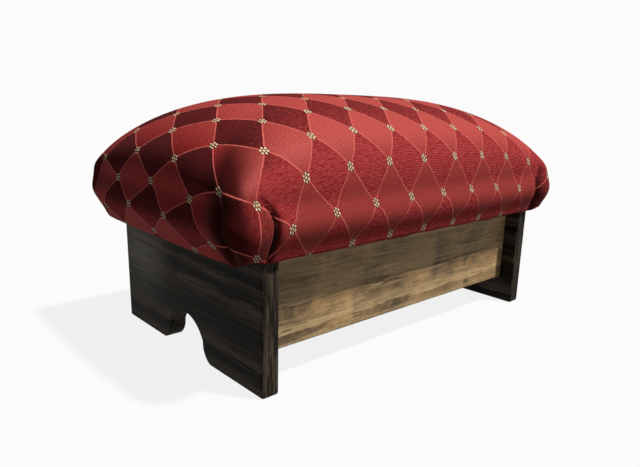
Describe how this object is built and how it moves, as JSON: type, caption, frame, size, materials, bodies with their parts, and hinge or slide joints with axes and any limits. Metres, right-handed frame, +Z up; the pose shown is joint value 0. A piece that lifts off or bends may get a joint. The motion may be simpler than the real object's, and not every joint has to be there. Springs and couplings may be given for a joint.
{
  "type": "upholstered footstool",
  "caption": "Low rectangular footstool: crowned, fabric-covered padded top on a dark-stained wooden frame of scalloped end boards and set-in rails.",
  "frame": {"origin": "on the floor, under the middle of the stool", "axes": "+Z up, +X along the stool's length from the left end board to the right one, -Y towards the front rail"},
  "size_m": [0.5024, 0.2948, 0.2716],
  "materials": {
    "stained_wood": "dark walnut stain on pine, satin, lighter where the grain stands up and along worn edges",
    "raw_wood": "bare softwood, sawn",
    "plywood": "bare plywood",
    "screw_steel": "zinc-plated steel",
    "foam": "cut polyurethane foam",
    "wadding": "bonded polyester fibre",
    "cover_fabric": "woven upholstery cloth, satin ground with raised pile diamonds and small rosettes"
  },
  "bodies": {
    "root": {"end_board_left": "stained_wood", "end_board_right": "stained_wood", "rail_front": "stained_wood", "rail_back": "stained_wood", "corner_block_front_left": "raw_wood", "corner_block_back_left": "raw_wood", "corner_block_front_right": "raw_wood", "corner_block_back_right": "raw_wood", "rail_dowels": "raw_wood", "block_screws": "screw_steel", "deck_board": "plywood", "deck_screws": "screw_steel", "foam_pad": "foam", "wadding": "wadding", "fabric_cover": "cover_fabric", "cover_staples": "screw_steel"}
  },
  "joints": []
}
